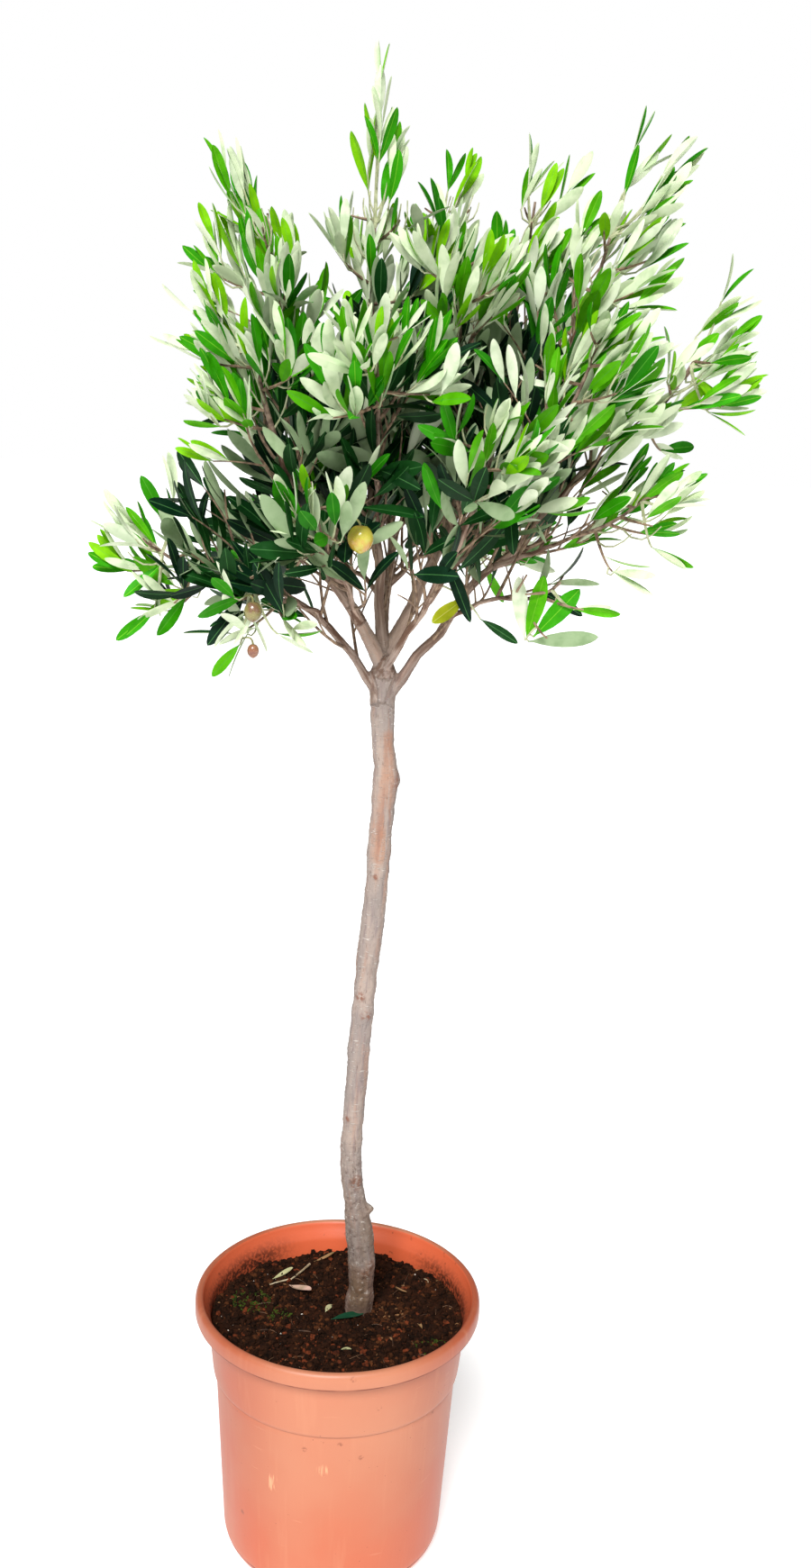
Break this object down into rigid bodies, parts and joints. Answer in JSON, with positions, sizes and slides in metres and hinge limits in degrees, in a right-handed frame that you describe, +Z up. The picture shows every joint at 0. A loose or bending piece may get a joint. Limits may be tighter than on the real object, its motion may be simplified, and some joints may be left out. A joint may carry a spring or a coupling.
{
  "type": "potted olive tree",
  "caption": "Young olive tree with a round leafy crown on one slender bare stem, in a round plastic nursery pot filled with soil.",
  "frame": {"origin": "centre of the pot's flat underside", "axes": "+Z up along the pot's axis, -Y to the front, +X to the right as seen from the front"},
  "size_m": [0.5969, 0.4577, 1.4113],
  "materials": {
    "pot": "satin terracotta-coloured plastic",
    "soil": "moist crumbly potting soil",
    "bark": "smooth grey-brown bark",
    "foliage": "leathery leaves, glossy green above and pale grey-green below"
  },
  "bodies": {
    "root": {"pot": "pot", "soil": "soil", "trunk": "bark", "bough_left": "bark", "bough_centre_right": "bark", "bough_centre_left": "bark", "bough_low_left": "bark", "bough_low_right": "bark", "bough_right_inner": "bark", "bough_back": "bark", "bough_left_upper": "bark", "bough_left_back": "bark", "bough_front_low": "bark", "bough_front_middle": "bark", "bough_front_upper": "bark", "bough_right_upper": "bark", "bough_back_top": "bark", "bough_right_front": "bark", "bough_left_inner": "bark", "bough_right_lower": "bark", "bough_right_foot": "bark", "bough_back_left": "bark", "bough_back_right": "bark", "bough_back_low": "bark", "foliage_left": "foliage", "foliage_centre_right": "foliage", "foliage_centre_left": "foliage", "foliage_low_left": "foliage", "foliage_low_right": "foliage", "foliage_right_inner": "foliage", "foliage_back": "foliage", "foliage_left_upper": "foliage", "foliage_left_back": "foliage", "foliage_front_low": "foliage", "foliage_front_middle": "foliage", "foliage_front_upper": "foliage", "foliage_right_upper": "foliage", "foliage_back_top": "foliage", "foliage_right_front": "foliage", "foliage_left_inner": "foliage", "foliage_right_lower": "foliage", "foliage_right_foot": "foliage", "foliage_back_left": "foliage", "foliage_back_right": "foliage", "foliage_back_low": "foliage"}
  },
  "joints": []
}
